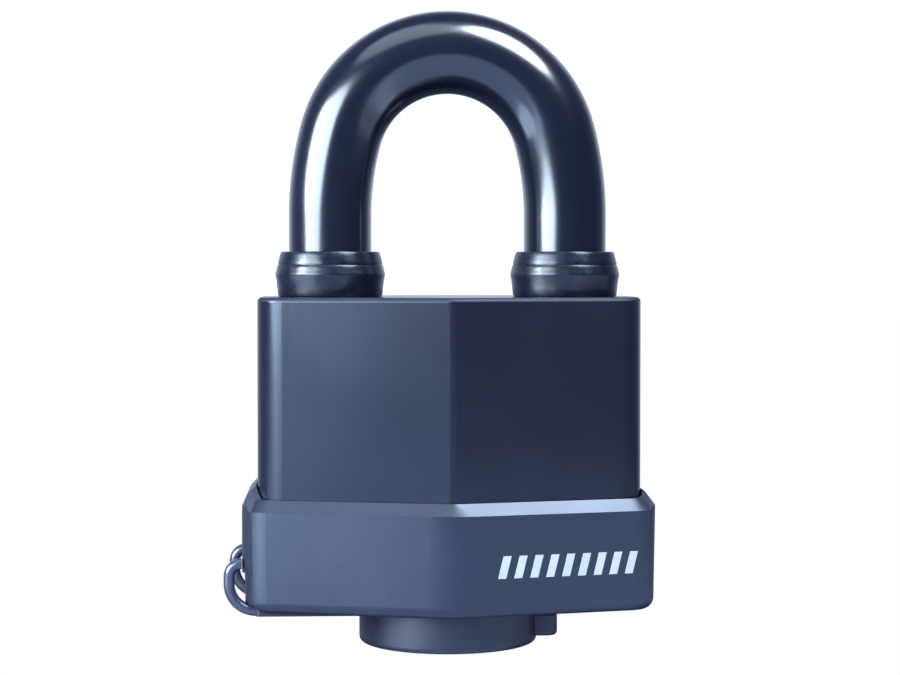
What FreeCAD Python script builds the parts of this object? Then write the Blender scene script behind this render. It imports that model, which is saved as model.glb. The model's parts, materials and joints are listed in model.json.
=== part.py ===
"""Covered weatherproof padlock: laminated steel body in a moulded jacket, sleeved shackle,
ball locking, pin-tumbler cylinder and a hinged dust cap over the keyway.

Millimetres. X right, Y away from the viewer, Z up. The origin is the middle of the dust cap's
lower face, on the lock's upright axis. Rest pose: shackle down, plug turned to its open
position (balls drawn in), dust cap shut.
"""

import math
import os

import FreeCAD
import Part

V = FreeCAD.Vector
UP = V(0, 0, 1)

# Jacket: two flat faces meet in an upright crease, front and back.
FACE_SLOPE = 13.7
JACKET_HALF_X = 35.0
JACKET_HALF_CREASE = 20.2
JACKET_CORNER_R = 6.0
JACKET_CREASE_R = 2.7
JACKET_WALL = 2.2
JACKET_TOP = 64.0
JACKET_TOP_R = 0.9

# Base cover: a cup round the foot of the jacket.
BASE_OVER = 2.1
BASE_END_OVER = 0.4
BASE_DRAFT = 0.3
BASE_CORNER_R = 5.5
BASE_CREASE_R = 18.0
BASE_BOTTOM = 7.1
BASE_FLOOR = 2.0
BASE_WALL_TOP = 25.45
BASE_CHAMFER_TOP = 27.55
BASE_FOOT_R = 2.1
BASE_LIP = 0.55
LIP_GAP = 0.35
LIP_GAP_FOOT = 26.2
END_RISE = 1.05
RISE_HALF_Y = (12.6, 8.0)
KEY_HOLE_R = 9.6
GASKET_T = 1.0

# Laminated stack.
PLATE_COUNT = 22
PLATE_T = 2.35
PLATE_GAP = 0.1
RIVET_R = 1.9
RIVET_X = 28.6
RIVET_Y = 7.3

# Shackle: steel bar in a soft sleeve.
LEG_X = 21.78
STEEL_R = 5.5
SLEEVE_R = 7.65
CROWN_Z = 109.1
CROWN_R = 20.5
CROWN_HALF_ANGLE = 75.0
SHOULDER_R = 58.1
HEEL_TIP = 31.0
TOE_TIP = 48.6
SLEEVE_END = 65.8
LEG_CLEARANCE = 0.3
LIFT = 17.0

# Locking balls and the cam between them.
BALL_R = 4.365
BALL_OPEN_X = 11.635
BALL_TRAVEL = 2.5
BALL_GAP = 0.3
CAM_CLEAR_R = 10.0
STEM_R = 5.6

# Cylinder.
SHELL_R = 8.6
SHELL_FLANGE_R = 9.5
SHELL_FACE = 7.7
BIBLE_HALF_X = 3.7
BIBLE_TOP_Y = 15.2
COVER_T = 1.0
PLUG_R = 6.35
PLUG_CLEARANCE = 0.05
PLUG_FACE = 8.0
PIN_COUNT = 5
PIN_PITCH = 4.6
FIRST_PIN_Z = 14.7
PIN_R = 1.35
CHAMBER_R = 1.5
DRIVER_LENGTH = 3.1
KEY_PIN_LENGTHS = (3.2, 4.0, 3.5, 4.4, 3.0)

# Dust cap, its arms and the two rubber hinge loops.
CAP_R = 16.5
CAP_WALL = 2.4
CAP_FLOOR = 2.2
CAP_EDGE_R = 1.0
TAB_REACH = 20.2
TAB_HALF_Y = 4.5
TAB_BOTTOM = 1.2
TAB_T = 4.2
ARM_Y = 10.5
ARM_HALF_W = 1.7
ARM_BOTTOM = 6.5
ARM_TOP = 8.1
ARM_END_X = -35.2
ARM_INNER_X = -6.5
GROOVE_TOP = 8.6
GROOVE_HALF_W = 2.1
CORD_R = 1.0
CORD_START_Z = 15.9
CORD_TOP_BEND = 2.25
CORD_CLEARANCE = 0.35
PAD_PROUD = 0.3
PAD_SUNK = 0.6
PAD_HALF_Y = 12.7
PAD_BOTTOM = 14.3
PAD_TOP = 29.6
PAD_TOP_HALF_Y = 8.6

JACKET_FOOT = BASE_BOTTOM + BASE_FLOOR
STACK_FOOT = JACKET_FOOT + GASKET_T
STACK_CORNER_R = JACKET_CORNER_R - JACKET_WALL - PLATE_GAP
STACK_TOP = STACK_FOOT + PLATE_COUNT * PLATE_T


def plate_z(index):
    """Height of the lower face of plate `index`."""
    return STACK_FOOT + index * PLATE_T


CYLINDER_PLATES = 12
HEEL_FLOOR_PLATE = 2
TOE_FLOOR_PLATE = 16
BALL_PLATES = range(17, 21)
BALL_Z = plate_z(19)
SHELL_TOP = plate_z(CYLINDER_PLATES)


def cylinder(radius, z0, z1, x=0.0, y=0.0):
    return Part.makeCylinder(radius, z1 - z0, V(x, y, z0), UP)


def block(x0, x1, y0, y1, z0, z1):
    return Part.makeBox(x1 - x0, y1 - y0, z1 - z0, V(x0, y0, z0))


def at_height(shape, z):
    """Edges of `shape` that lie wholly at height z."""
    return [
        e for e in shape.Edges
        if abs(e.BoundBox.ZMin - z) < 1e-4 and abs(e.BoundBox.ZMax - z) < 1e-4
    ]


def outline(grow, corner_r, crease_r, z, end_over=0.0):
    """The creased body outline, `grow` outside the jacket and `end_over` more at its ends."""
    slope = math.radians(FACE_SLOPE)
    half_x = JACKET_HALF_X + grow + end_over
    crease_y = JACKET_HALF_CREASE + grow / math.cos(slope)
    side_y = crease_y - half_x * math.tan(slope)
    corners = [
        (V(half_x, -side_y, z), corner_r),
        (V(half_x, side_y, z), corner_r),
        (V(0, crease_y, z), crease_r),
        (V(-half_x, side_y, z), corner_r),
        (V(-half_x, -side_y, z), corner_r),
        (V(0, -crease_y, z), crease_r),
    ]
    edges = []
    previous = None
    first = None
    count = len(corners)
    for i, (point, radius) in enumerate(corners):
        back = (corners[i - 1][0] - point).normalize()
        ahead = (corners[(i + 1) % count][0] - point).normalize()
        half = back.getAngle(ahead) / 2
        reach = radius / math.tan(half)
        start = point + back * reach
        end = point + ahead * reach
        middle_way = (back + ahead).normalize()
        middle = point + middle_way * (radius / math.sin(half) - radius)
        if previous is not None:
            edges.append(Part.makeLine(previous, start))
        edges.append(Part.Arc(start, middle, end).toShape())
        first = first or start
        previous = end
    edges.append(Part.makeLine(previous, first))
    return Part.Wire(edges)


def prism(grow, corner_r, crease_r, z0, z1, end_over=0.0):
    face = Part.Face(outline(grow, corner_r, crease_r, z0, end_over))
    return face.extrude(V(0, 0, z1 - z0))


def revolve(points, x=0.0, y=0.0):
    """Turn a closed (radius, z) profile about an upright axis at x, y."""
    wire = Part.makePolygon([V(r, 0, z) for r, z in points] + [V(points[0][0], 0, points[0][1])])
    solid = Part.Face(wire).revolve(V(0, 0, 0), UP, 360)
    solid.translate(V(x, y, 0))
    return solid


def coil(wire_r, mean_r, length, turns):
    """An upright spring standing on z = 0: half turns, each a round arc in a tilted plane."""
    halves = 2 * turns
    rise = (length - 2 * wire_r) / halves
    wire = None
    for i in range(halves):
        side = 1 if i % 2 == 0 else -1
        start = V(side * mean_r, 0, wire_r + i * rise)
        centre = V(0, 0, start.z + rise / 2)
        heading = V(0, side, 0)
        disc = Part.Face(Part.Wire(Part.makeCircle(wire_r, start, heading)))
        half = disc.revolve(centre, (start - centre).cross(heading), 180)
        wire = half if wire is None else wire.fuse(half)
    return wire


def save(name, shape):
    """Write one node; several solids are allowed only where they are meant."""
    shape.exportStep("parts/%s.step" % name)


# ---------------------------------------------------------------- shackle

def shackle_path(heel_z, toe_z):
    centre = V(0, 0, CROWN_Z - CROWN_R)
    turn = math.radians(CROWN_HALF_ANGLE)

    def crown_point(angle):
        return centre + V(math.sin(angle), 0, math.cos(angle)) * CROWN_R

    def shoulder_point(side, angle):
        joint = crown_point(side * turn)
        inward = V(side * math.sin(turn), 0, math.cos(turn))
        hub = joint - inward * SHOULDER_R
        return hub + V(side * math.sin(angle), 0, math.cos(angle)) * SHOULDER_R

    middle = (turn + math.pi / 2) / 2
    left_foot = shoulder_point(-1, math.pi / 2)
    right_foot = shoulder_point(1, math.pi / 2)
    edges = [
        Part.makeLine(V(left_foot.x, 0, heel_z), left_foot),
        Part.Arc(left_foot, shoulder_point(-1, middle), crown_point(-turn)).toShape(),
        Part.Arc(crown_point(-turn), crown_point(0), crown_point(turn)).toShape(),
        Part.Arc(crown_point(turn), shoulder_point(1, middle), right_foot).toShape(),
        Part.makeLine(right_foot, V(right_foot.x, 0, toe_z)),
    ]
    return Part.Wire(edges)


def bar(radius, heel_z, toe_z):
    path = shackle_path(heel_z, toe_z)
    start = path.Vertexes[0].Point
    section = Part.Wire(Part.makeCircle(radius, V(start.x, 0, heel_z), UP))
    return path.makePipeShell([section], True, False)


def make_shackle():
    steel = bar(STEEL_R, HEEL_TIP, TOE_TIP)
    steel = steel.makeChamfer(0.8, at_height(steel, HEEL_TIP) + at_height(steel, TOE_TIP))
    locked_x = BALL_OPEN_X + BALL_TRAVEL
    for side in (-1, 1):
        bite = Part.makeSphere(BALL_R + BALL_GAP, V(side * locked_x, 0, BALL_Z))
        steel = steel.cut(bite)
    neck = Part.makeTorus(
        LEG_X - locked_x, BALL_R + BALL_GAP, V(-LEG_X, 0, BALL_Z - LIFT), UP)
    return steel.cut(neck)


def make_sleeve():
    outer = bar(SLEEVE_R, SLEEVE_END, SLEEVE_END)
    return outer.cut(bar(STEEL_R, SLEEVE_END - 1, SLEEVE_END - 1))


def make_seal(x):
    foot = JACKET_TOP + 0.05
    profile = [
        (STEEL_R, foot),
        (9.4, foot),
        (9.7, foot + 0.3),
        (9.92, 67.2),
        (10.15, 68.0),
        (10.15, 68.5),
        (9.8, 69.7),
        (9.6, 69.9),
        (9.6, 70.15),
        (9.7, 70.3),
        (9.28, 71.9),
        (8.88, 72.3),
        (SLEEVE_R, 72.3),
        (SLEEVE_R, SLEEVE_END),
        (STEEL_R, SLEEVE_END),
    ]
    return revolve(profile, x)


# ---------------------------------------------------------------- body shell

def make_jacket():
    outer = prism(0, JACKET_CORNER_R, JACKET_CREASE_R, JACKET_FOOT, JACKET_TOP)
    outer = outer.makeFillet(JACKET_TOP_R, at_height(outer, JACKET_TOP))
    inner = prism(
        -JACKET_WALL, JACKET_CORNER_R - JACKET_WALL, 0.4, JACKET_FOOT - 1, STACK_TOP)
    jacket = outer.cut(inner)
    for side in (-1, 1):
        jacket = jacket.cut(
            cylinder(STEEL_R + 0.6, STACK_TOP - 1, JACKET_TOP + 1, side * LEG_X))
    return jacket


def flared(levels):
    """A creased solid whose outline grows or shrinks from one height to the next."""
    wires = []
    for grow, z in levels:
        lip = grow < 1.2
        crease_r = JACKET_CREASE_R if lip else BASE_CREASE_R
        end_over = 0 if lip else BASE_END_OVER
        wires.append(outline(grow, BASE_CORNER_R + grow - BASE_OVER, crease_r, z, end_over))
    return Part.makeLoft(wires, True, True)


def base_outer():
    solid = flared([
        (BASE_OVER - BASE_DRAFT, BASE_BOTTOM),
        (BASE_OVER, BASE_WALL_TOP),
        (BASE_LIP, BASE_CHAMFER_TOP),
    ])
    return solid.makeFillet(BASE_FOOT_R, at_height(solid, BASE_BOTTOM))


def end_slab(side, low_half_y, top_half_y, z0, z1):
    """Room round one end that narrows towards its top above the base cover's wall."""
    x = side * 30
    corners = [
        V(x, low_half_y, z0),
        V(x, low_half_y, BASE_WALL_TOP),
        V(x, top_half_y, z1),
        V(x, -top_half_y, z1),
        V(x, -low_half_y, BASE_WALL_TOP),
        V(x, -low_half_y, z0),
    ]
    face = Part.Face(Part.makePolygon(corners + corners[:1]))
    return face.extrude(V(side * 15, 0, 0))


def raised_end(side):
    """The rim's higher part round one end, ramped down to the rim on both faces."""
    low = BASE_WALL_TOP - 2.0
    shoulder = BASE_WALL_TOP + END_RISE * 0.6
    top = BASE_CHAMFER_TOP + END_RISE
    rim = flared([
        (BASE_OVER - BASE_DRAFT * 0.1, low),
        (BASE_OVER, shoulder),
        (BASE_LIP, top),
    ])
    return rim.common(end_slab(side, *RISE_HALF_Y, low, top + 0.1))


def base_shell():
    shell = base_outer()
    for side in (-1, 1):
        shell = shell.fuse(raised_end(side))
    return shell.removeSplitter()


def pad_strip():
    """The hinge pad's lower part, sunk into the left end of the base cover."""
    z1 = BASE_WALL_TOP - 0.6

    def end_prism(proud):
        return prism(
            BASE_OVER + proud, BASE_CORNER_R + proud, BASE_CREASE_R, PAD_BOTTOM, z1,
            BASE_END_OVER)

    strip = end_prism(PAD_PROUD).common(
        block(-45, -30, -PAD_HALF_Y, PAD_HALF_Y, PAD_BOTTOM, z1))
    return strip.cut(end_prism(-PAD_SUNK))


def make_base_cover():
    cover = base_shell().cut(pad_strip())
    cover = cover.cut(prism(0, JACKET_CORNER_R, JACKET_CREASE_R, JACKET_FOOT, 40))
    cover = cover.cut(prism(
        LIP_GAP, JACKET_CORNER_R + LIP_GAP, JACKET_CREASE_R, LIP_GAP_FOOT, 40))
    cover = cover.cut(cylinder(KEY_HOLE_R, 0, 20))
    for side in (-1, 1):
        y = side * ARM_Y
        cover = cover.cut(block(
            -50, ARM_INNER_X + 0.4, y - GROOVE_HALF_W, y + GROOVE_HALF_W, 0, GROOVE_TOP))
        cover = cover.cut(make_loop(side, CORD_R + CORD_CLEARANCE))
    return cover


def make_hinge_pad():
    """Stands proud of the base cover's left end and leans over its rim to the jacket."""
    z1 = BASE_WALL_TOP - 0.6
    over_rim = flared([
        (BASE_OVER + PAD_PROUD, z1),
        (BASE_OVER + PAD_PROUD * 0.9, BASE_WALL_TOP + END_RISE * 0.6 + 0.2),
        (BASE_OVER * 0.55 + PAD_PROUD, PAD_TOP - 1.3),
        (LIP_GAP + 0.25, PAD_TOP),
    ])
    over_rim = over_rim.common(end_slab(-1, PAD_HALF_Y, PAD_TOP_HALF_Y, z1, PAD_TOP))
    over_rim = over_rim.cut(base_shell())
    pad = pad_strip().fuse(over_rim).removeSplitter()
    return pad.cut(prism(LIP_GAP, JACKET_CORNER_R + LIP_GAP, JACKET_CREASE_R, 20, 40))


def make_gasket():
    gasket = prism(
        -JACKET_WALL - PLATE_GAP, STACK_CORNER_R, 0.4, JACKET_FOOT, STACK_FOOT)
    return gasket.cut(cylinder(KEY_HOLE_R, 0, 20))


# ---------------------------------------------------------------- laminated stack

def cylinder_room(z0, z1):
    room = cylinder(SHELL_R, z0, z1)
    return room.fuse(block(-BIBLE_HALF_X, BIBLE_HALF_X, 0, BIBLE_TOP_Y, z0, z1))


def make_plate(index):
    z0 = plate_z(index)
    z1 = z0 + PLATE_T
    plate = prism(-JACKET_WALL - PLATE_GAP, STACK_CORNER_R, 0.4, z0, z1)
    for sx in (-1, 1):
        for sy in (-1, 1):
            plate = plate.cut(cylinder(RIVET_R, z0 - 1, z1 + 1, sx * RIVET_X, sy * RIVET_Y))
    if index >= HEEL_FLOOR_PLATE:
        plate = plate.cut(cylinder(STEEL_R + LEG_CLEARANCE, z0 - 1, z1 + 1, -LEG_X))
    if index >= TOE_FLOOR_PLATE:
        plate = plate.cut(cylinder(STEEL_R + LEG_CLEARANCE, z0 - 1, z1 + 1, LEG_X))
    if index < CYLINDER_PLATES:
        plate = plate.cut(cylinder_room(z0 - 1, z1 + 1))
    elif index == CYLINDER_PLATES:
        plate = plate.cut(cylinder(8.2, z0 - 1, z1 + 1))
    elif index < BALL_PLATES[0]:
        plate = plate.cut(cylinder(STEM_R + 0.3, z0 - 1, z1 + 1))
    elif index in BALL_PLATES:
        channel = BALL_R + 0.335
        plate = plate.cut(cylinder(CAM_CLEAR_R, z0 - 1, z1 + 1))
        plate = plate.cut(block(-LEG_X, LEG_X, -channel, channel, z0 - 1, z1 + 1))
    return plate


def make_rivets():
    pins = [
        cylinder(RIVET_R, STACK_FOOT, STACK_TOP, sx * RIVET_X, sy * RIVET_Y)
        for sx in (-1, 1) for sy in (-1, 1)
    ]
    return Part.makeCompound(pins)


# ---------------------------------------------------------------- locking parts

def cam_radius(degrees):
    """Cam radius for one half turn; the other half repeats it."""
    turn = degrees % 180.0
    low = BALL_OPEN_X - BALL_R - BALL_GAP
    high = low + BALL_TRAVEL
    if turn <= 90.0:
        return low + BALL_TRAVEL * turn / 90.0
    if turn <= 112.0:
        return high
    if turn <= 152.0:
        return high - BALL_TRAVEL * (turn - 112.0) / 40.0
    return low


def make_actuator():
    points = []
    for step in range(0, 360, 6):
        r = cam_radius(step)
        a = math.radians(step)
        points.append(V(r * math.cos(a), r * math.sin(a), plate_z(BALL_PLATES[0]) + 0.3))
    curve = Part.BSplineCurve()
    curve.interpolate(points, PeriodicFlag=True)
    height = len(BALL_PLATES) * PLATE_T - 0.6
    cam = Part.Face(Part.Wire(curve.toShape())).extrude(V(0, 0, height))
    stem = cylinder(STEM_R, SHELL_TOP + 1.1, plate_z(BALL_PLATES[0]) + 1)
    slot = block(-1.4, 1.4, -4.2, 4.2, SHELL_TOP, SHELL_TOP + 3.4)
    return cam.fuse(stem).removeSplitter().cut(slot)


def make_ball(side):
    return Part.makeSphere(BALL_R, V(side * BALL_OPEN_X, 0, BALL_Z))


def make_shackle_spring():
    floor = plate_z(HEEL_FLOOR_PLATE)
    spring = coil(0.5, 3.9, HEEL_TIP - floor - 0.1, 5)
    spring.translate(V(-LEG_X, 0, floor + 0.05))
    return spring


# ---------------------------------------------------------------- cylinder

def pin_z(index):
    return FIRST_PIN_Z + index * PIN_PITCH


def along_y(radius, y0, y1, z):
    return Part.makeCylinder(radius, y1 - y0, V(0, y0, z), V(0, 1, 0))


def make_cylinder_shell():
    shell = cylinder_room(STACK_FOOT, SHELL_TOP)
    shell = shell.fuse(cylinder(SHELL_FLANGE_R, SHELL_FACE, STACK_FOOT)).removeSplitter()
    shell = shell.cut(cylinder(PLUG_R + PLUG_CLEARANCE, 0, 60))
    for i in range(PIN_COUNT):
        shell = shell.cut(along_y(CHAMBER_R, 2, BIBLE_TOP_Y, pin_z(i)))
    return shell.cut(chamber_cover_block())


def chamber_cover_block():
    y0 = BIBLE_TOP_Y - COVER_T
    z0 = pin_z(0) - 2.6
    z1 = pin_z(PIN_COUNT - 1) + 2.6
    return block(-2.4, 2.4, y0, BIBLE_TOP_Y, z0, z1)


def make_plug():
    tongue_top = SHELL_TOP + 3.2
    plug = cylinder(PLUG_R, PLUG_FACE, SHELL_TOP + 0.2)
    plug = plug.makeChamfer(0.3, at_height(plug, PLUG_FACE))
    plug = plug.fuse(cylinder(4.6, SHELL_TOP, SHELL_TOP + 1.0))
    plug = plug.fuse(block(-1.3, 1.3, -4.0, 4.0, SHELL_TOP, tongue_top))
    keyway = block(-4.0, 4.6, -0.75, 0.75, 0, SHELL_TOP - 2)
    keyway = keyway.fuse(block(-1.2, 1.0, -1.5, 0.2, 0, SHELL_TOP - 2))
    keyway = keyway.fuse(block(2.6, 4.6, -0.2, 1.4, 0, SHELL_TOP - 2))
    plug = plug.cut(keyway)
    for i in range(PIN_COUNT):
        bore = Part.makeCylinder(PIN_R + 0.1, 7.4, V(0.4, 0, pin_z(i)), V(-1, 0, 0))
        plug = plug.cut(bore)
    return plug.removeSplitter()


def make_plug_clip():
    clip = cylinder(7.7, SHELL_TOP + 0.25, SHELL_TOP + 0.95).cut(cylinder(4.6, 0, 60))
    return clip.cut(block(0, 10, -3.0, 3.0, 0, 60)).cut(block(-1.3, 1.3, -4.0, 4.0, 0, 60))


def make_key_pin(index):
    length = KEY_PIN_LENGTHS[index]
    outer = PLUG_R - 0.08
    body = Part.makeCylinder(PIN_R, length - 0.9, V(-outer, 0, pin_z(index)), V(1, 0, 0))
    tip = Part.makeCone(
        PIN_R, 0.45, 0.9, V(-outer + length - 0.9, 0, pin_z(index)), V(1, 0, 0))
    crown = Part.makeSphere(PLUG_R - 0.02, V(0, 0, pin_z(index)))
    return body.fuse(tip).removeSplitter().common(crown)


def make_driver_pin(index):
    foot = PLUG_R + PLUG_CLEARANCE + 0.02
    pin = along_y(PIN_R, foot, foot + DRIVER_LENGTH, pin_z(index))
    return pin.makeChamfer(0.2, [e for e in pin.Edges if e.Curve.TypeId == "Part::GeomCircle"])


def make_pin_spring(index):
    foot = PLUG_R + PLUG_CLEARANCE + 0.02 + DRIVER_LENGTH
    length = BIBLE_TOP_Y - COVER_T - foot
    spring = coil(0.16, 1.0, length - 0.04, 5)
    spring.rotate(V(0, 0, 0), V(1, 0, 0), -90)
    spring.translate(V(0, foot + 0.02, pin_z(index)))
    return spring


# ---------------------------------------------------------------- dust cap

def make_cap():
    cup = cylinder(CAP_R, 0, BASE_BOTTOM)
    cup = cup.makeFillet(CAP_EDGE_R, at_height(cup, 0))
    cup = cup.cut(cylinder(CAP_R - CAP_WALL, CAP_FLOOR, BASE_BOTTOM + 1))
    tab = block(CAP_R - 1.5, TAB_REACH, -TAB_HALF_Y, TAB_HALF_Y, TAB_BOTTOM, TAB_BOTTOM + TAB_T)
    corner = [
        e for e in tab.Edges
        if abs(e.BoundBox.XMin - TAB_REACH) < 1e-4 and e.BoundBox.ZLength > 1
    ]
    tab = tab.makeFillet(2.0, corner)
    tab = tab.makeFillet(0.8, at_height(tab, TAB_BOTTOM))
    tab = tab.makeFillet(0.5, at_height(tab, TAB_BOTTOM + TAB_T))
    tab = tab.cut(cylinder(CAP_R - 0.6, 0, 20))
    cup = cup.fuse(tab)
    for side in (-1, 1):
        y = side * ARM_Y
        arm = block(
            ARM_END_X, ARM_INNER_X, y - ARM_HALF_W, y + ARM_HALF_W, ARM_BOTTOM, ARM_TOP)
        tip = [
            e for e in arm.Edges
            if abs(e.BoundBox.XMax - ARM_END_X) < 1e-4 and e.BoundBox.ZLength > 1
        ]
        arm = arm.makeFillet(ARM_HALF_W - CORD_R, tip)
        arm = arm.cut(cylinder(CAP_R - CAP_WALL, 0, 20))
        cup = cup.fuse(arm)
    return cup.removeSplitter()


def make_loop(side, radius):
    """Round cord: out of the pad, down past the corner and in under the base."""
    y = side * ARM_Y
    pad_x = -(JACKET_HALF_X + BASE_OVER + BASE_END_OVER + PAD_PROUD) - 0.02
    outer_x = pad_x - CORD_TOP_BEND
    bend = ARM_END_X - outer_x
    end_z = (ARM_BOTTOM + ARM_TOP) / 2 + 0.1

    def disc(x, z, normal):
        return Part.Face(Part.Wire(Part.makeCircle(radius, V(x, y, z), normal)))

    turn_axis = V(0, -1, 0)
    top = disc(pad_x, CORD_START_Z, V(1, 0, 0)).revolve(
        V(pad_x, y, CORD_START_Z - CORD_TOP_BEND), turn_axis, 90)
    drop = CORD_START_Z - CORD_TOP_BEND - (end_z + bend)
    straight = disc(outer_x, end_z + bend, UP).extrude(V(0, 0, drop))
    foot = disc(outer_x, end_z + bend, UP).revolve(
        V(ARM_END_X, y, end_z + bend), turn_axis, 90)
    return top.fuse([straight, foot]).removeSplitter()


def main():
    os.makedirs("parts", exist_ok=True)
    save("shackle", make_shackle())
    save("shackle_sleeve", make_sleeve())
    save("heel_seal", make_seal(-LEG_X))
    save("toe_seal", make_seal(LEG_X))
    save("jacket", make_jacket())
    save("base_cover", make_base_cover())
    save("hinge_pad", make_hinge_pad())
    save("base_gasket", make_gasket())
    for i in range(PLATE_COUNT):
        save("plate_%02d" % (i + 1), make_plate(i))
    save("rivets", make_rivets())
    save("actuator", make_actuator())
    save("ball_left", make_ball(-1))
    save("ball_right", make_ball(1))
    save("shackle_spring", make_shackle_spring())
    save("cylinder_shell", make_cylinder_shell())
    save("chamber_cover", chamber_cover_block())
    save("cylinder_plug", make_plug())
    save("plug_clip", make_plug_clip())
    for i in range(PIN_COUNT):
        save("key_pin_%d" % (i + 1), make_key_pin(i))
        save("driver_pin_%d" % (i + 1), make_driver_pin(i))
        save("pin_spring_%d" % (i + 1), make_pin_spring(i))
    save("keyway_cap", make_cap())
    save("hinge_loop_front", make_loop(-1, CORD_R))
    save("hinge_loop_rear", make_loop(1, CORD_R))


main()
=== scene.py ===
"""Looks, light and camera for the covered weatherproof padlock. Metres, in the row frame."""

import json
import math

import bmesh
import bpy
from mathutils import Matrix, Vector


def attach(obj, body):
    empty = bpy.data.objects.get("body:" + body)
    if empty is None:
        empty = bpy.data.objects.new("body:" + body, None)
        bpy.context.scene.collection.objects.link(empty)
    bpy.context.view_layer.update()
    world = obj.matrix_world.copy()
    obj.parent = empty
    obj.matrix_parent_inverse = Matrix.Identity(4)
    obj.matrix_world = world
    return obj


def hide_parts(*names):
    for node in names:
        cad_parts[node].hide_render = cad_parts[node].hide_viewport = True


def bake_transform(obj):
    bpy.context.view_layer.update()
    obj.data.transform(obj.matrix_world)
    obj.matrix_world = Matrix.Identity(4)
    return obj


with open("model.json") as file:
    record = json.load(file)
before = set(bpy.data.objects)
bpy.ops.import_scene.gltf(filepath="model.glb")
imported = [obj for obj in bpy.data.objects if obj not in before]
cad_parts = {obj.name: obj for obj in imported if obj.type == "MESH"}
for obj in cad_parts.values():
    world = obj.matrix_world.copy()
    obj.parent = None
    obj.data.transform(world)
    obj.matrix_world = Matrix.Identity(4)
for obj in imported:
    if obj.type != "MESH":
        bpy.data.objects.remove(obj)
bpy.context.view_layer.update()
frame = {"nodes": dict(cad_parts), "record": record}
NODES = frame["nodes"]
MM = 0.001

# Sizes that match the CAD model's, in millimetres.
LEG_X = 21.78
STEEL_R = 5.5
SLEEVE_R = 7.65
SLEEVE_END = 65.8
CROWN_Z = 109.1
CROWN_R = 20.5
CROWN_HALF_ANGLE = 75.0
SHOULDER_R = 58.1
SEAL_FOOT = 64.05
SEAL_TOP = 72.30
JACKET_TOP_Z = 64.0
ARM_Y = 10.5
CORD_R = 1.0
CORD_START_Z = 15.9
CORD_END_Z = 7.4
TOP_BEND = 2.25
PAD_X = -37.82
ARM_END_X = -35.2
FACE_SLOPE = 13.7
BASE_CREASE_Y = 22.36
BASE_BOTTOM_Z = 7.1
BASE_TOP_Z = 25.45
BASE_DRAFT = 0.3
SPRING_FOOT_Z = 14.85
SPRING_LENGTH = 16.1
SPRING_R = 3.9
SPRING_WIRE_R = 0.5
PIN_Z = [14.7 + 4.6 * i for i in range(5)]
PIN_SPRING_Y = 9.54
PIN_SPRING_LENGTH = 4.64
PIN_SPRING_R = 1.0
PIN_WIRE_R = 0.16
SPRING_TURNS = 5

# The row of leaning bars printed on the base cover, in millimetres.
BARS = 9
BAR_START = 8.2
BAR_STEP = 3.0
BAR_FOOT_Z = 14.2
BAR_WIDTH = 1.5
BAR_LEAN = 1.0
BAR_HEIGHT = 4.0
BAR_LIFT = 0.05

# How finely the meshes are cut: sides of a round section, and steps along a bend.
SLEEVE_SIDES = 72
SEAL_SIDES = 128
CORD_SIDES = 24
WIRE_SIDES = 10
CROWN_STEPS = 60
SHOULDER_STEPS = 24
LEG_STEPS = 20
TOP_BEND_STEPS = 14
LOW_BEND_STEPS = 24
COIL_STEPS_PER_TURN = 28
CREASE_DEGREES = 32

# Camera, in metres, millimetres of lens and degrees.
CAMERA_PLACE = (-0.01946, -0.39562, 0.0695)
CAMERA_LENS = 85.32
CAMERA_SENSOR = 36.0
CAMERA_TURN = 2.875
CAMERA_DIP = 1.90

# Floor, in metres.
FLOOR_HALF = 6.0
FLOOR_Z = -0.10

# Noise mostly stays in this part of 0 to 1, so it is spread from here.
NOISE_LOW = 0.3
NOISE_HIGH = 0.7

# Worn rounding below the jacket's flat top: where it starts, is full, fades and ends, in
# millimetres below the top, and the roughness it adds.
WORN_START = 0.9
WORN_FULL = 0.5
WORN_FADE = 0.04
WORN_END = 0.005
WORN_ROUGHNESS = 0.34


# ---------------------------------------------------------------- shader nodes

def new_material(name):
    material = bpy.data.materials.new(name)
    material.use_nodes = True
    tree = material.node_tree
    tree.nodes.clear()
    out = tree.nodes.new("ShaderNodeOutputMaterial")
    shader = tree.nodes.new("ShaderNodeBsdfPrincipled")
    tree.links.new(shader.outputs["BSDF"], out.inputs["Surface"])
    return material, tree, shader


def noise(tree, scale, stretch=(1, 1, 1), detail=3.0):
    """Object-space noise of about `scale` features per metre. A stretch below 1 draws them out
    along that axis, and one above 1 packs them closer."""
    coord = tree.nodes.new("ShaderNodeTexCoord")
    mapping = tree.nodes.new("ShaderNodeMapping")
    mapping.inputs["Scale"].default_value = [scale * s for s in stretch]
    texture = tree.nodes.new("ShaderNodeTexNoise")
    texture.inputs["Scale"].default_value = 1.0
    texture.inputs["Detail"].default_value = detail
    texture.inputs["Roughness"].default_value = 0.5
    tree.links.new(coord.outputs["Object"], mapping.inputs["Vector"])
    tree.links.new(mapping.outputs["Vector"], texture.inputs["Vector"])
    return texture.outputs["Fac"]


def remap(tree, value, low, high):
    """Spreads a noise value over low to high."""
    node = tree.nodes.new("ShaderNodeMapRange")
    node.inputs["From Min"].default_value = NOISE_LOW
    node.inputs["From Max"].default_value = NOISE_HIGH
    node.inputs["To Min"].default_value = low
    node.inputs["To Max"].default_value = high
    tree.links.new(value, node.inputs["Value"])
    return node.outputs["Result"]


def ranged(tree, value, low, high):
    """A soft step from 0 at low to 1 at high."""
    node = tree.nodes.new("ShaderNodeMapRange")
    node.interpolation_type = "SMOOTHSTEP"
    node.inputs["From Min"].default_value = low
    node.inputs["From Max"].default_value = high
    tree.links.new(value, node.inputs["Value"])
    return node.outputs["Result"]


def times(tree, first, second):
    node = tree.nodes.new("ShaderNodeMath")
    node.operation = "MULTIPLY"
    tree.links.new(first, node.inputs[0])
    tree.links.new(second, node.inputs[1])
    return node.outputs["Value"]


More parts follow.
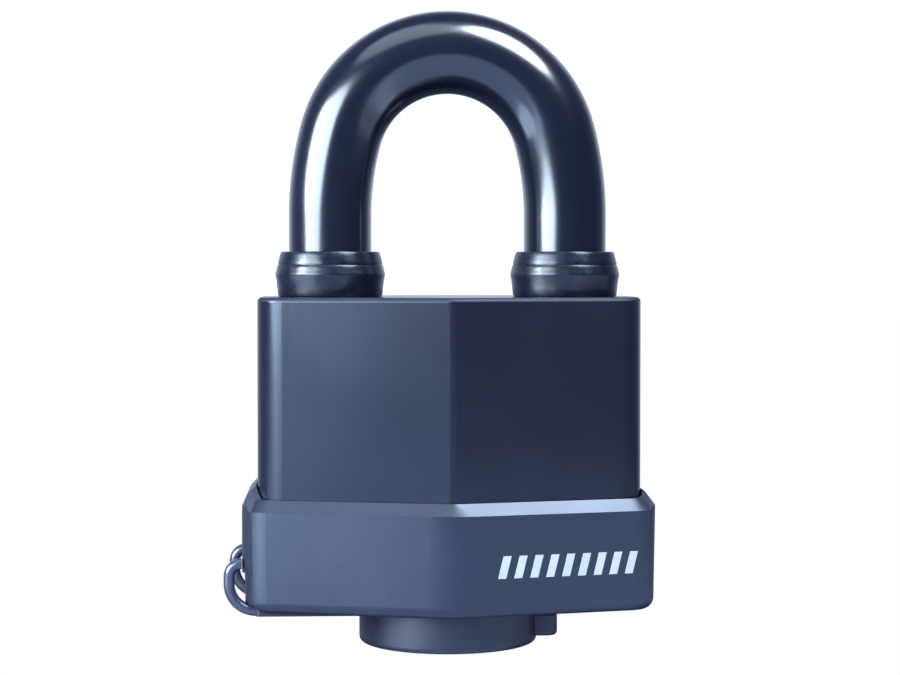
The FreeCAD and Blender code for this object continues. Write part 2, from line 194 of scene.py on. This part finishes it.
def two_tone(tree, value, dark, light):
    node = tree.nodes.new("ShaderNodeValToRGB")
    node.color_ramp.elements[0].position = NOISE_LOW
    node.color_ramp.elements[1].position = NOISE_HIGH
    node.color_ramp.elements[0].color = (*dark, 1)
    node.color_ramp.elements[1].color = (*light, 1)
    tree.links.new(value, node.inputs["Fac"])
    return node.outputs["Color"]


def bump(tree, shader, grain):
    """Stacks bump layers, each (scale, stretch, depth in millimetres)."""
    heights = [(noise(tree, scale, stretch), depth * MM) for scale, stretch, depth in grain]
    previous = None
    for height, depth in heights:
        node = tree.nodes.new("ShaderNodeBump")
        node.inputs["Strength"].default_value = 1.0
        node.inputs["Distance"].default_value = depth
        tree.links.new(height, node.inputs["Height"])
        if previous:
            tree.links.new(previous, node.inputs["Normal"])
        previous = node.outputs["Normal"]
    tree.links.new(previous, shader.inputs["Normal"])


def worn_edge(tree, roughness, top):
    """Adds roughness on the rounding below a flat top, which handling has dulled."""
    coord = tree.nodes.new("ShaderNodeTexCoord")
    split = tree.nodes.new("ShaderNodeSeparateXYZ")
    tree.links.new(coord.outputs["Object"], split.inputs["Vector"])
    height = split.outputs["Z"]
    above = ranged(tree, height, top - WORN_START * MM, top - WORN_FULL * MM)
    below = ranged(tree, height, top - WORN_END * MM, top - WORN_FADE * MM)
    total = tree.nodes.new("ShaderNodeMath")
    total.operation = "MULTIPLY_ADD"
    tree.links.new(times(tree, above, below), total.inputs[0])
    total.inputs[1].default_value = WORN_ROUGHNESS
    tree.links.new(roughness, total.inputs[2])
    return total.outputs["Value"]


# ---------------------------------------------------------------- materials

def moulded(name, dark, light, rough, grain, coat=0.0, coat_rough=0.1, specular=0.5, tone=60,
            tint=(1, 1, 1), worn_top=None):
    """Plastic, vinyl or rubber. tone is the colour noise's scale; worn_top a height in mm."""
    material, tree, shader = new_material(name)
    shader.inputs["Specular IOR Level"].default_value = specular
    shader.inputs["Specular Tint"].default_value = (*tint, 1)
    shader.inputs["Coat Weight"].default_value = coat
    shader.inputs["Coat Roughness"].default_value = coat_rough
    broad = noise(tree, tone, detail=4.0)
    tree.links.new(two_tone(tree, broad, dark, light), shader.inputs["Base Color"])
    roughness = remap(tree, broad, *rough)
    if worn_top is not None:
        roughness = worn_edge(tree, roughness, worn_top * MM)
    tree.links.new(roughness, shader.inputs["Roughness"])
    bump(tree, shader, grain)
    return material


def metal(name, dark, light, rough, grain):
    material, tree, shader = new_material(name)
    shader.inputs["Metallic"].default_value = 1.0
    broad = noise(tree, 180, detail=5.0)
    tree.links.new(two_tone(tree, broad, dark, light), shader.inputs["Base Color"])
    tree.links.new(remap(tree, broad, *rough), shader.inputs["Roughness"])
    bump(tree, shader, grain)
    return material


# Stretches of the grain: even all round, or drawn out upright.
ROUND = (1, 1, 1)
UPRIGHT = (1, 1, 0.03)

# Each is dark colour, light colour, roughness range and grain: (scale, stretch, depth in mm).
MOULDED = {
    "jacket_plastic": dict(
        dark=(0.0058, 0.0062, 0.0112), light=(0.0074, 0.0080, 0.0144), rough=(0.20, 0.26),
        grain=[(900, UPRIGHT, 0.010), (5200, UPRIGHT, 0.012), (3200, ROUND, 0.003)],
        specular=0.42, tone=35, worn_top=JACKET_TOP_Z, tint=(0.78, 0.88, 1.0)),
    "base_plastic": dict(
        dark=(0.0072, 0.0085, 0.0162), light=(0.0092, 0.0109, 0.0206), rough=(0.36, 0.44),
        grain=[(3600, ROUND, 0.024)],
        specular=0.58, tone=45, tint=(0.80, 0.89, 1.0)),
    "vinyl_sleeve": dict(
        dark=(0.0029, 0.0039, 0.0086), light=(0.0038, 0.0050, 0.0106), rough=(0.18, 0.22),
        grain=[(260, ROUND, 0.015), (2400, ROUND, 0.0006)],
        coat=0.6, coat_rough=0.15, tone=50),
    "seal_rubber": dict(
        dark=(0.0034, 0.0046, 0.0098), light=(0.0047, 0.0064, 0.0135), rough=(0.20, 0.34),
        grain=[(900, (1, 1, 3), 0.011), (4000, ROUND, 0.005)],
        specular=0.44, tone=500),
    "cap_rubber": dict(
        dark=(0.0080, 0.0092, 0.0190), light=(0.0100, 0.0116, 0.0238), rough=(0.36, 0.46),
        grain=[(1800, ROUND, 0.010)],
        tone=90),
    # The cords' look is the cap's own rubber painted about twice as light. That is painted light
    # for the brighter sheen the cords catch; the coat is real gloss.
    "cord_rubber": dict(
        dark=(0.0180, 0.0215, 0.0380), light=(0.0230, 0.0275, 0.0480), rough=(0.26, 0.34),
        grain=[(1800, ROUND, 0.006)],
        coat=0.5, coat_rough=0.18, tone=120),
    "print_white": dict(
        dark=(0.31, 0.315, 0.32), light=(0.35, 0.355, 0.36), rough=(0.40, 0.55),
        grain=[(3600, ROUND, 0.008)],
        tone=200),
}

METALS = {
    "lamination_steel": dict(
        dark=(0.30, 0.30, 0.32), light=(0.48, 0.48, 0.50), rough=(0.28, 0.45),
        grain=[(1500, (1, 1, 0.1), 0.004)]),
    "shackle_steel": dict(
        dark=(0.45, 0.46, 0.48), light=(0.60, 0.61, 0.63), rough=(0.16, 0.28),
        grain=[(1200, (1, 1, 0.15), 0.003)]),
    "rivet_steel": dict(
        dark=(0.35, 0.35, 0.36), light=(0.52, 0.52, 0.54), rough=(0.25, 0.40),
        grain=[(1500, ROUND, 0.004)]),
    "cam_steel": dict(
        dark=(0.28, 0.28, 0.29), light=(0.42, 0.42, 0.43), rough=(0.35, 0.55),
        grain=[(2500, ROUND, 0.008)]),
    "spring_steel": dict(
        dark=(0.40, 0.40, 0.42), light=(0.55, 0.55, 0.57), rough=(0.20, 0.32),
        grain=[(2000, ROUND, 0.002)]),
    "ball_steel": dict(
        dark=(0.62, 0.62, 0.64), light=(0.72, 0.72, 0.74), rough=(0.05, 0.10),
        grain=[(800, ROUND, 0.0005)]),
    "cylinder_brass": dict(
        dark=(0.55, 0.38, 0.14), light=(0.68, 0.50, 0.22), rough=(0.25, 0.40),
        grain=[(1600, (1, 1, 0.2), 0.004)]),
    "plug_brass": dict(
        dark=(0.58, 0.42, 0.16), light=(0.72, 0.54, 0.25), rough=(0.18, 0.30),
        grain=[(1800, ROUND, 0.003)]),
    "brass_pins": dict(
        dark=(0.55, 0.38, 0.14), light=(0.68, 0.50, 0.22), rough=(0.20, 0.32),
        grain=[(2200, ROUND, 0.003)]),
}

MATERIALS = {name: moulded(name, **look) for name, look in MOULDED.items()}
MATERIALS.update({name: metal(name, **look) for name, look in METALS.items()})


def paint(obj, name):
    obj.data.materials.clear()
    obj.data.materials.append(MATERIALS[name])


def smooth(obj):
    """Smooth shading, with edges sharper than CREASE_DEGREES kept crisp."""
    limit = math.radians(CREASE_DEGREES)
    mesh = obj.data
    work = bmesh.new()
    work.from_mesh(mesh)
    for face in work.faces:
        face.smooth = True
    for edge in work.edges:
        edge.smooth = not (len(edge.link_faces) == 2 and edge.calc_face_angle(0) > limit)
    work.to_mesh(mesh)
    work.free()


# ---------------------------------------------------------------- mesh pieces

def piece(name, points, faces, slot, look=None):
    """A piece from points in millimetres. look is its material where that isn't the slot's own.
    The print has no slot, because the CAD model has no print."""
    mesh = bpy.data.meshes.new(name)
    mesh.from_pydata([Vector(p) * MM for p in points], [], faces)
    mesh.validate()
    obj = bpy.data.objects.new(name, mesh)
    bpy.context.scene.collection.objects.link(obj)
    work = bmesh.new()
    work.from_mesh(mesh)
    bmesh.ops.recalc_face_normals(work, faces=work.faces)
    work.to_mesh(mesh)
    work.free()
    smooth(obj)
    paint(obj, look or slot)
    return obj


def skin(rings, loop=False):
    """Quads between closed rings of equal length, joined into a loop or capped at the ends."""
    count = len(rings[0])
    last = len(rings) - 1
    points = [p for ring in rings for p in ring]
    faces = []
    for i in range(len(rings) if loop else last):
        a = i * count
        b = ((i + 1) % len(rings)) * count
        for j in range(count):
            k = (j + 1) % count
            faces.append((a + j, a + k, b + k, b + j))
    if not loop:
        faces.append(tuple(range(count)))
        faces.append(tuple(last * count + j for j in range(count)))
    return points, faces


def ring_round(centre, tangent, side, radius, count):
    """A circle of points square to tangent; side is a unit vector in its plane."""
    other = tangent.cross(side).normalized()
    out = []
    for j in range(count):
        a = 2 * math.pi * j / count
        out.append(centre + side * (radius * math.cos(a)) + other * (radius * math.sin(a)))
    return out


def shackle_line(end_z):
    """Points along the shackle's middle line, left foot to right foot, each with its slope."""
    turn = math.radians(CROWN_HALF_ANGLE)
    hub = Vector((0, 0, CROWN_Z - CROWN_R))
    right = []
    for i in range(CROWN_STEPS + 1):
        a = turn * i / CROWN_STEPS
        right.append((hub + Vector((math.sin(a), 0, math.cos(a))) * CROWN_R, a))
    out = Vector((math.sin(turn), 0, math.cos(turn)))
    far_hub = hub + out * CROWN_R - out * SHOULDER_R
    for i in range(1, SHOULDER_STEPS + 1):
        a = turn + (math.pi / 2 - turn) * i / SHOULDER_STEPS
        right.append((far_hub + Vector((math.sin(a), 0, math.cos(a))) * SHOULDER_R, a))
    foot = right[-1][0]
    for i in range(1, LEG_STEPS + 1):
        z = foot.z + (end_z - foot.z) * i / LEG_STEPS
        right.append((Vector((foot.x, 0, z)), math.pi / 2))
    left = [(Vector((-p.x, 0, p.z)), -a) for p, a in right[1:]]
    return list(reversed(left)) + right


def make_sleeve():
    """A tube: along its outside from left foot to right, and back along its inside."""
    rings = []
    line = shackle_line(SLEEVE_END)
    for radius, steps in ((SLEEVE_R, line), (STEEL_R, list(reversed(line)))):
        for centre, angle in steps:
            tangent = Vector((math.cos(angle), 0, -math.sin(angle)))
            rings.append(ring_round(centre, tangent, Vector((0, -1, 0)), radius, SLEEVE_SIDES))
    return piece("sleeve", *skin(rings, loop=True), "vinyl_sleeve")


def seal_profile():
    """Radius and height round the collar's section: up the outside, then down the bore."""
    foot = SEAL_FOOT
    rounded_foot = [(9.30, foot), (9.55, foot + 0.06), (9.65, foot + 0.25)]
    flare = [(9.79, 65.6), (9.95, 67.0), (10.08, 67.75)]
    widest = [(10.13, 68.0), (10.13, 68.25)]
    shoulder = [(10.06, 68.45), (9.90, 69.15), (9.78, 69.68)]
    groove = [(9.72, 69.78), (9.60, 69.82), (9.60, 69.98), (9.68, 70.02)]
    lip = [(9.68, 70.12), (9.54, 70.7), (9.34, 71.5), (9.21, 71.95)]
    rounded_top = [(9.11, 72.17), (8.94, 72.28), (8.73, SEAL_TOP)]
    bore_edge = [(SLEEVE_R + 0.12, SEAL_TOP), (SLEEVE_R, SEAL_TOP - 0.12)]
    bore = [(SLEEVE_R, SLEEVE_END), (STEEL_R, SLEEVE_END)]
    outside = rounded_foot + flare + widest + shoulder + groove + lip + rounded_top
    return [(STEEL_R, foot)] + outside + bore_edge + bore


def make_seal(name, x):
    """A collar turned about the upright line at x."""
    rings = []
    for r, z in seal_profile():
        ring = []
        for j in range(SEAL_SIDES):
            a = 2 * math.pi * j / SEAL_SIDES
            ring.append((x + r * math.cos(a), r * math.sin(a), z))
        rings.append(ring)
    return piece(name, *skin(rings, loop=True), "seal_rubber")


def make_loop(name, y):
    """Round cord: out of the pad, down past the corner and in under the base."""
    outer_x = PAD_X - TOP_BEND
    bend = ARM_END_X - outer_x
    line = []
    for i in range(TOP_BEND_STEPS + 1):
        a = math.pi / 2 * i / TOP_BEND_STEPS
        x = PAD_X - TOP_BEND * math.sin(a)
        z = CORD_START_Z - TOP_BEND + TOP_BEND * math.cos(a)
        line.append((Vector((x, y, z)), Vector((-math.cos(a), 0, -math.sin(a)))))
    for i in range(LOW_BEND_STEPS + 1):
        a = math.pi / 2 * i / LOW_BEND_STEPS
        x = ARM_END_X - bend * math.cos(a)
        z = CORD_END_Z + bend - bend * math.sin(a)
        line.append((Vector((x, y, z)), Vector((math.sin(a), 0, -math.cos(a)))))
    rings = [ring_round(c, t, Vector((0, 1, 0)), CORD_R, CORD_SIDES) for c, t in line]
    # The cords are the cap's rubber; their look is a lighter copy of it, painted light for the
    # sheen they catch.
    return piece(name, *skin(rings), "cap_rubber", "cord_rubber")


def make_coil(name, foot, axis, length, mean_r, wire_r):
    """A compression spring from foot along axis."""
    axis = Vector(axis)
    side = Vector((1, 0, 0))
    other = axis.cross(side)
    steps = SPRING_TURNS * COIL_STEPS_PER_TURN
    rise = length - 2 * wire_r
    rings = []
    for i in range(steps + 1):
        a = 2 * math.pi * SPRING_TURNS * i / steps
        out = side * math.cos(a) + other * math.sin(a)
        centre = Vector(foot) + axis * (wire_r + rise * i / steps) + out * mean_r
        around = side * -math.sin(a) + other * math.cos(a)
        along = (around * (2 * math.pi * SPRING_TURNS * mean_r) + axis * rise).normalized()
        across = (axis - along * axis.dot(along)).normalized()
        rings.append(ring_round(centre, along, across, wire_r, WIRE_SIDES))
    return piece(name, *skin(rings), "spring_steel")


def make_print():
    """A generic printed mark on the right half of the base cover: a row of leaning bars."""
    slope = math.radians(FACE_SLOPE)
    along = Vector((math.cos(slope), math.sin(slope), 0))
    outward = Vector((math.sin(slope), -math.cos(slope), 0))
    up = Vector((0, 0, 1))
    start = Vector((0, -BASE_CREASE_Y, 0))
    corners = [
        (0.0, 0.0), (BAR_WIDTH, 0.0),
        (BAR_LEAN + BAR_WIDTH, BAR_HEIGHT), (BAR_LEAN, BAR_HEIGHT)]
    made = []
    for i in range(BARS):
        u = BAR_START + i * BAR_STEP
        points = []
        for lift in (-BAR_LIFT, BAR_LIFT):
            for du, dz in corners:
                draft = -BASE_DRAFT * (BASE_TOP_Z - BAR_FOOT_Z - dz) / (BASE_TOP_Z - BASE_BOTTOM_Z)
                foot = start + along * (u + du) + up * (BAR_FOOT_Z + dz)
                points.append(foot + outward * (lift + draft))
        faces = [(3, 2, 1, 0), (4, 5, 6, 7)]
        faces += [(j, (j + 1) % 4, 4 + (j + 1) % 4, 4 + j) for j in range(4)]
        made.append(piece("print_bar_%d" % (i + 1), points, faces, "print_white"))
    return made


# ---------------------------------------------------------------- carried CAD nodes

for entry in frame["record"]["subparts"]:
    node = NODES[entry["node"]]
    paint(node, entry["material_slot"])
    smooth(node)

# ---------------------------------------------------------------- replacements

sleeve = make_sleeve()
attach(sleeve, "shackle")
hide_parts("shackle_sleeve")

for side, node in ((-1, "heel_seal"), (1, "toe_seal")):
    seal = make_seal(node + "_lathe", side * LEG_X)
    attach(seal, "shackle")
    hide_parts(node)

for side, node in ((-1, "hinge_loop_front"), (1, "hinge_loop_rear")):
    loop = make_loop(node + "_cord", side * ARM_Y)
    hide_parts(node)
    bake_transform(loop)

spring = make_coil(
    "shackle_coil", (-LEG_X, 0, SPRING_FOOT_Z), (0, 0, 1),
    SPRING_LENGTH, SPRING_R, SPRING_WIRE_R)
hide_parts("shackle_spring")
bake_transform(spring)

for i, z in enumerate(PIN_Z):
    name = "pin_spring_%d" % (i + 1)
    coil = make_coil(
        name + "_coil", (0, PIN_SPRING_Y, z), (0, 1, 0),
        PIN_SPRING_LENGTH, PIN_SPRING_R, PIN_WIRE_R)
    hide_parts(name)
    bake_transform(coil)

for bar in make_print():
    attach(bar, "lock_body")


# ---------------------------------------------------------------- floor, world, lights

def make_floor():
    """A white ground under the table lights, which neither lights the lock nor shows in it."""
    h = FLOOR_HALF
    corners = [(x, y, FLOOR_Z) for x, y in ((-h, -h), (h, -h), (h, h), (-h, h))]
    mesh = bpy.data.meshes.new("floor")
    mesh.from_pydata(corners, [], [(0, 1, 2, 3)])
    floor = bpy.data.objects.new("floor", mesh)
    bpy.context.scene.collection.objects.link(floor)
    material, tree, shader = new_material("floor_white")
    shader.inputs["Base Color"].default_value = (0, 0, 0, 1)
    shader.inputs["Roughness"].default_value = 1.0
    shader.inputs["Specular IOR Level"].default_value = 0.0
    shader.inputs["Emission Color"].default_value = (1, 1, 1, 1)
    shader.inputs["Emission Strength"].default_value = 1.0
    mesh.materials.append(material)
    floor.visible_diffuse = False
    floor.visible_glossy = False
    floor.visible_shadow = False


def make_world():
    """White where the camera looks; for light, a dim blue room that is paler behind."""
    world = bpy.data.worlds.new("studio")
    bpy.context.scene.world = world
    world.use_nodes = True
    tree = world.node_tree
    tree.nodes.clear()
    out = tree.nodes.new("ShaderNodeOutputWorld")
    seen = tree.nodes.new("ShaderNodeBackground")
    seen.inputs["Color"].default_value = (1, 1, 1, 1)
    seen.inputs["Strength"].default_value = 1.1
    room = tree.nodes.new("ShaderNodeBackground")
    coord = tree.nodes.new("ShaderNodeTexCoord")
    split = tree.nodes.new("ShaderNodeSeparateXYZ")
    tree.links.new(coord.outputs["Generated"], split.inputs["Vector"])
    behind = ranged(tree, split.outputs["Y"], -0.2, 1.0)
    above = ranged(tree, split.outputs["Z"], -0.45, 0.02)
    not_overhead = ranged(tree, split.outputs["Z"], 1.10, 0.50)
    paleness = times(tree, times(tree, behind, above), not_overhead)
    tint = tree.nodes.new("ShaderNodeValToRGB")
    tint.color_ramp.elements[0].color = (0.060, 0.080, 0.130, 1)
    tint.color_ramp.elements[1].color = (0.85, 0.95, 1.20, 1)
    middle = tint.color_ramp.elements.new(0.60)
    middle.color = (0.17, 0.20, 0.29, 1)
    tree.links.new(paleness, tint.inputs["Fac"])
    tree.links.new(tint.outputs["Color"], room.inputs["Color"])
    path = tree.nodes.new("ShaderNodeLightPath")
    mix = tree.nodes.new("ShaderNodeMixShader")
    tree.links.new(path.outputs["Is Camera Ray"], mix.inputs["Fac"])
    tree.links.new(room.outputs["Background"], mix.inputs[1])
    tree.links.new(seen.outputs["Background"], mix.inputs[2])
    tree.links.new(mix.outputs["Shader"], out.inputs["Surface"])


def softbox(name, shape, place, target, size, power, colour):
    """An area light at place that faces target; size is its width and height in metres."""
    light = bpy.data.lights.new(name, "AREA")
    light.shape = shape
    light.size, light.size_y = size
    light.energy = power
    light.color = colour
    obj = bpy.data.objects.new(name, light)
    bpy.context.scene.collection.objects.link(obj)
    obj.visible_camera = False
    obj.location = place
    aim = Vector(target) - Vector(place)
    obj.rotation_euler = aim.to_track_quat("-Z", "Y").to_euler()


def round_box(name, turn, lift, distance, height, size, power, colour):
    """An oval box facing the lock's axis at `height`; turn is to the right of the front."""
    a = math.radians(turn)
    e = math.radians(lift)
    place = (
        distance * math.cos(e) * math.sin(a),
        -distance * math.cos(e) * math.cos(a),
        height + distance * math.sin(e))
    softbox(name, "ELLIPSE", place, (0, 0, height), size, power, colour)


def table_light(name, shape, place, size, power, colour):
    """A light that lies flat and shines up, as a bright table top does."""
    softbox(name, shape, place, (place[0], place[1], 1.0), size, power, colour)


def make_lights():
    """Boxes low on the left and high on both sides, a faint ceiling and a dim lit table."""
    round_box("left_box", -49.5, 12.0, 0.60, 0.09, (0.55, 0.39), 10.6, (0.70, 0.83, 1.0))
    round_box("left_core", -66, 13.0, 0.62, 0.09, (0.26, 0.33), 5.5, (0.66, 0.81, 1.0))
    round_box("right_box", 48, 54, 0.60, 0.10, (0.38, 0.42), 11.6, (0.72, 0.84, 1.0))
    softbox("ceiling", "RECTANGLE", (-0.10, -0.20, 0.70), (-0.10, -0.20, 0.0),
            (0.60, 0.40), 0.28, (0.72, 0.84, 1.0))
    round_box("left_high", -33, 64, 0.60, 0.05, (0.50, 0.40), 1.3, (0.66, 0.80, 1.0))
    table_light("table_glow", "RECTANGLE", (-0.13, -0.365, -0.02),
                (0.62, 0.71), 2.4, (0.46, 0.62, 1.0))
    table_light("table_patch", "ELLIPSE", (-0.26, -0.13, -0.015),
                (0.26, 0.26), 0.80, (0.60, 0.76, 1.0))
    table_light("table_far", "ELLIPSE", (-0.42, -0.44, -0.02),
                (0.52, 0.48), 1.5, (0.56, 0.72, 1.0))
    table_light("table_right", "RECTANGLE", (0.34, -0.22, -0.03),
                (0.46, 0.60), 0.95, (0.62, 0.72, 1.0))


def make_camera():
    """A long lens a little left of the front and slightly above the collars."""
    camera = bpy.data.cameras.new("camera")
    camera.sensor_width = CAMERA_SENSOR
    camera.lens = CAMERA_LENS
    obj = bpy.data.objects.new("camera", camera)
    bpy.context.scene.collection.objects.link(obj)
    turn = math.radians(CAMERA_TURN)
    dip = math.radians(CAMERA_DIP)
    obj.location = CAMERA_PLACE
    look = Vector((
        math.sin(turn) * math.cos(dip), math.cos(turn) * math.cos(dip), -math.sin(dip)))
    obj.rotation_euler = look.to_track_quat("-Z", "Y").to_euler()
    bpy.context.scene.camera = obj


make_floor()
make_world()
make_lights()
make_camera()
bpy.context.scene.view_settings.view_transform = "Standard"
